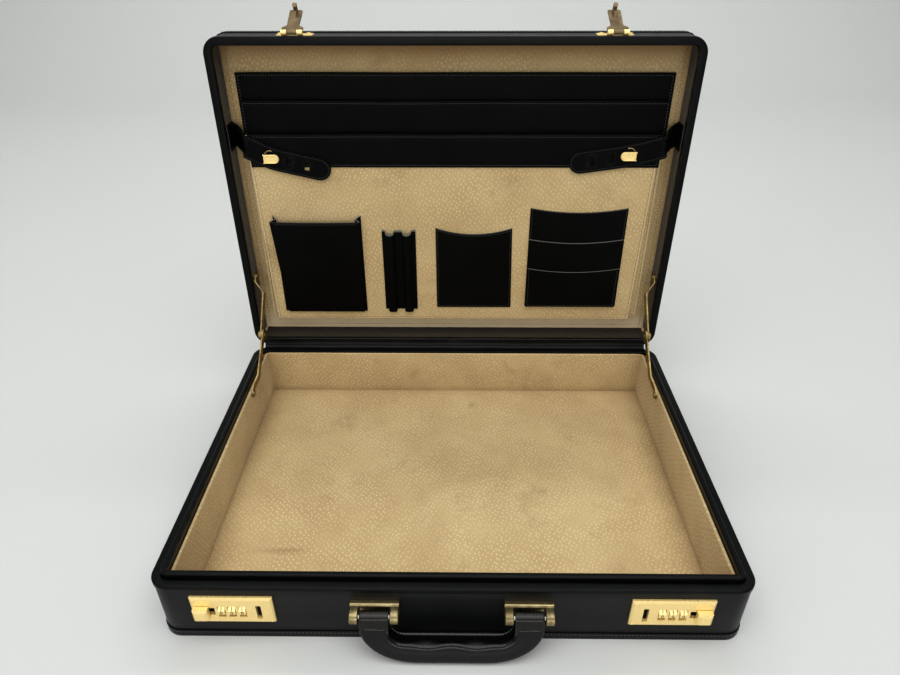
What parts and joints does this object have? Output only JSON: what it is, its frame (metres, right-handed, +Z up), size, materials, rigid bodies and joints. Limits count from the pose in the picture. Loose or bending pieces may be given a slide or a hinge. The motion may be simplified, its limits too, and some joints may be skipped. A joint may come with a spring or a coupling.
{
  "type": "leather briefcase",
  "caption": "Hard-sided black leather attache case standing open, with suede-lined tray, lid organiser, folding stays, combination locks with hasps, and a hinged carry handle.",
  "frame": {"origin": "centre of the tray's underside, on the floor", "axes": "+Z up, -Y towards the front with the locks and handle, +X to the right seen from the front"},
  "size_m": [0.46, 0.3896, 0.4154],
  "materials": {
    "case_leather": "smooth, semi-gloss black",
    "rim_leather": "smooth black, polished by use",
    "handle_leather": "padded, stitched, semi-gloss black",
    "organiser_leather": "fine grain, satin black",
    "tan_suede": "matt pigskin with pale pores",
    "dark_lining": "matt dark lining",
    "frame_wood": "bare plywood and hardboard",
    "bright_brass": "polished, with brushed faces",
    "antique_brass": "darkened, rubbed bright on the edges",
    "steel": "plain"
  },
  "bodies": {
    "tray": {"tray_base_leather": "case_leather", "tray_base_board": "frame_wood", "tray_wall_frame": "frame_wood", "tray_side_leather": "case_leather", "tray_rim": "rim_leather", "tray_lip": "rim_leather", "tray_lining_walls": "tan_suede", "tray_lining_floor": "tan_suede", "tray_hinge_leaf": "bright_brass", "hinge_pin": "steel", "hinge_leather": "rim_leather", "lock_plates": "bright_brass", "lock_plate_rivets": "bright_brass", "lock_cases": "steel", "dial_shafts": "steel", "handle_brackets": "antique_brass", "handle_pins": "steel", "stay_tray_rivets": "bright_brass"},
    "lid": {"lid_top_leather": "case_leather", "lid_top_board": "frame_wood", "lid_wall_frame": "frame_wood", "lid_side_leather": "case_leather", "lid_rim": "rim_leather", "lid_lining_walls": "dark_lining", "lid_lining_panel": "tan_suede", "lid_hinge_leaf": "bright_brass", "hasp_bases": "bright_brass", "hasp_pins": "steel", "hasp_base_screws": "bright_brass", "stay_lid_rivets": "bright_brass", "rear_divider": "tan_suede", "strap_anchors": "organiser_leather"},
    "handle": {"handle_grip": "handle_leather", "handle_end_loops": "handle_leather"},
    "organiser": {"organiser_board": "tan_suede", "organiser_band": "organiser_leather", "calculator_pocket": "organiser_leather", "pen_holder": "organiser_leather", "note_pocket": "organiser_leather", "card_pockets": "organiser_leather", "organiser_straps": "organiser_leather"},
    "middle_divider": {"middle_divider": "tan_suede"},
    "left_slide": {"left_slide_button": "bright_brass", "left_lock_bolt": "steel"},
    "left_dial_1": {"left_dial_1": "bright_brass"},
    "left_dial_2": {"left_dial_2": "bright_brass"},
    "left_dial_3": {"left_dial_3": "bright_brass"},
    "left_hasp": {"left_hasp": "bright_brass"},
    "left_stay_lower": {"left_stay_lower": "bright_brass"},
    "left_stay_upper": {"left_stay_upper": "bright_brass"},
    "left_turn_button": {"left_turn_button": "bright_brass"},
    "right_slide": {"right_slide_button": "bright_brass", "right_lock_bolt": "steel"},
    "right_dial_1": {"right_dial_1": "bright_brass"},
    "right_dial_2": {"right_dial_2": "bright_brass"},
    "right_dial_3": {"right_dial_3": "bright_brass"},
    "right_hasp": {"right_hasp": "bright_brass"},
    "right_stay_lower": {"right_stay_lower": "bright_brass"},
    "right_stay_upper": {"right_stay_upper": "bright_brass"},
    "right_turn_button": {"right_turn_button": "bright_brass"}
  },
  "joints": [
    {"name": "lid_hinge", "type": "hinge", "parent": "tray", "child": "lid", "pos_m": [0, 0.167, 0.059], "axis": [1, 0, 0], "range_deg": [0, 90]},
    {"name": "handle_swing", "type": "hinge", "parent": "tray", "child": "handle", "pos_m": [0, -0.1736, 0.0385], "axis": [-1, 0, 0], "range_deg": [0, 152.8]},
    {"name": "organiser_tilt", "type": "hinge", "parent": "lid", "child": "organiser", "pos_m": [0, 0.1795, 0.09], "axis": [1, 0, 0], "range_deg": [0, 6]},
    {"name": "middle_divider_tilt", "type": "hinge", "parent": "lid", "child": "middle_divider", "pos_m": [0, 0.187, 0.09], "axis": [1, 0, 0], "range_deg": [0, 3]},
    {"name": "left_hasp_swing", "type": "hinge", "parent": "lid", "child": "left_hasp", "pos_m": [-0.147, 0.17, 0.394], "axis": [1, 0, 0], "range_deg": [0, 155]},
    {"name": "left_button_slide", "type": "slide", "parent": "tray", "child": "left_slide", "axis": [1, 0, 0], "range_m": [0, 0.005]},
    {"name": "left_dial_1_spin", "type": "hinge", "parent": "tray", "child": "left_dial_1", "pos_m": [-0.1595, -0.1626, 0.034], "axis": [1, 0, 0], "continuous": true},
    {"name": "left_dial_2_spin", "type": "hinge", "parent": "tray", "child": "left_dial_2", "pos_m": [-0.1675, -0.1626, 0.034], "axis": [1, 0, 0], "continuous": true},
    {"name": "left_dial_3_spin", "type": "hinge", "parent": "tray", "child": "left_dial_3", "pos_m": [-0.1755, -0.1626, 0.034], "axis": [1, 0, 0], "continuous": true},
    {"name": "left_stay_lower_fold", "type": "hinge", "parent": "tray", "child": "left_stay_lower", "pos_m": [-0.21275, 0.082, 0.054], "axis": [1, 0, 0], "range_deg": [-33.02, 0]},
    {"name": "left_stay_upper_fold", "type": "hinge", "parent": "lid", "child": "left_stay_upper", "pos_m": [-0.22025, 0.179, 0.1433], "axis": [1, 0, 0], "range_deg": [0, 33.02]},
    {"name": "left_turn_button_turn", "type": "hinge", "parent": "organiser", "child": "left_turn_button", "pos_m": [-0.1845, 0.17515, 0.277], "axis": [0, 1, 0], "range_deg": [0, 90]},
    {"name": "right_hasp_swing", "type": "hinge", "parent": "lid", "child": "right_hasp", "pos_m": [0.147, 0.17, 0.394], "axis": [1, 0, 0], "range_deg": [0, 155]},
    {"name": "right_button_slide", "type": "slide", "parent": "tray", "child": "right_slide", "axis": [-1, 0, 0], "range_m": [0, 0.005]},
    {"name": "right_dial_1_spin", "type": "hinge", "parent": "tray", "child": "right_dial_1", "pos_m": [0.1595, -0.1626, 0.034], "axis": [1, 0, 0], "continuous": true},
    {"name": "right_dial_2_spin", "type": "hinge", "parent": "tray", "child": "right_dial_2", "pos_m": [0.1675, -0.1626, 0.034], "axis": [1, 0, 0], "continuous": true},
    {"name": "right_dial_3_spin", "type": "hinge", "parent": "tray", "child": "right_dial_3", "pos_m": [0.1755, -0.1626, 0.034], "axis": [1, 0, 0], "continuous": true},
    {"name": "right_stay_lower_fold", "type": "hinge", "parent": "tray", "child": "right_stay_lower", "pos_m": [0.21275, 0.082, 0.054], "axis": [1, 0, 0], "range_deg": [-33.02, 0]},
    {"name": "right_stay_upper_fold", "type": "hinge", "parent": "lid", "child": "right_stay_upper", "pos_m": [0.22025, 0.179, 0.1433], "axis": [1, 0, 0], "range_deg": [0, 33.02]},
    {"name": "right_turn_button_turn", "type": "hinge", "parent": "organiser", "child": "right_turn_button", "pos_m": [0.174, 0.17515, 0.28], "axis": [0, 1, 0], "range_deg": [0, 90]}
  ],
  "couplings": [
    {"joint": "middle_divider_tilt", "follows": "organiser_tilt", "ratio": 0.5},
    {"joint": "left_stay_lower_fold", "follows": "lid_hinge", "ratio": -0.36128},
    {"joint": "left_stay_upper_fold", "follows": "lid_hinge", "ratio": 0.36128},
    {"joint": "right_stay_lower_fold", "follows": "lid_hinge", "ratio": -0.36128},
    {"joint": "right_stay_upper_fold", "follows": "lid_hinge", "ratio": 0.36128}
  ]
}
